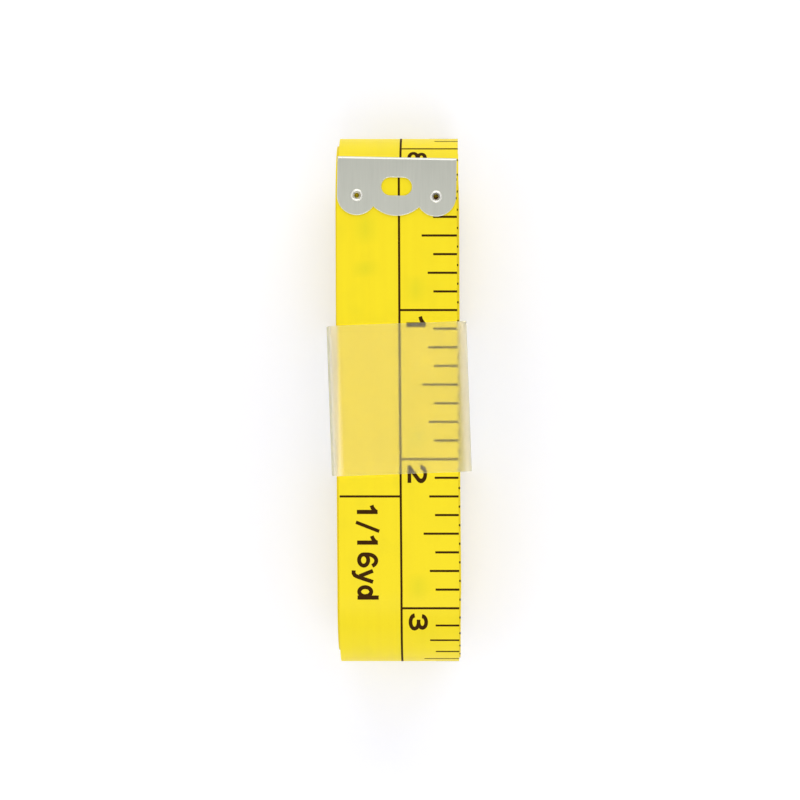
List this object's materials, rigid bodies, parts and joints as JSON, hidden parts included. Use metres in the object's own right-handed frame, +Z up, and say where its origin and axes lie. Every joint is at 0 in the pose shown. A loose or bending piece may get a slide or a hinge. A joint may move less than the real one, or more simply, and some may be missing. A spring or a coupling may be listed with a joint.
{
  "type": "soft tape measure",
  "caption": "Soft coated-cloth tape measure with a printed inch scale, wound flat in a frosted sliding sleeve, with a slotted steel tab on the zero end, which lifts.",
  "frame": {"origin": "on the surface the part rests on, under the middle of its bounding box", "axes": "+Y along the wound tape towards its zero tab, +Z up out of the printed face of the top run, +X across the tape"},
  "size_m": [0.0242, 0.0899, 0.0273],
  "materials": {
    "coated_cloth": "satin",
    "tab_steel": "satin",
    "eyelet_steel": "polished",
    "frosted_plastic": "satin"
  },
  "bodies": {
    "winding": {"tape_winding": "coated_cloth", "inner_tab": "tab_steel", "inner_tab_eyelet_left": "eyelet_steel", "inner_tab_eyelet_right": "eyelet_steel"},
    "zero_end": {"tape_zero_end": "coated_cloth", "zero_tab": "tab_steel", "zero_tab_eyelet_left": "eyelet_steel", "zero_tab_eyelet_right": "eyelet_steel"},
    "sleeve": {"sleeve": "frosted_plastic"}
  },
  "joints": [
    {"name": "zero_end_lift", "type": "hinge", "parent": "winding", "child": "zero_end", "pos_m": [0, 0.0144, 0.02648], "axis": [1, 0, 0], "range_deg": [0, 75]},
    {"name": "sleeve_slide", "type": "slide", "parent": "winding", "child": "sleeve", "axis": [0, -1, 0], "range_m": [0, 0.06]}
  ]
}
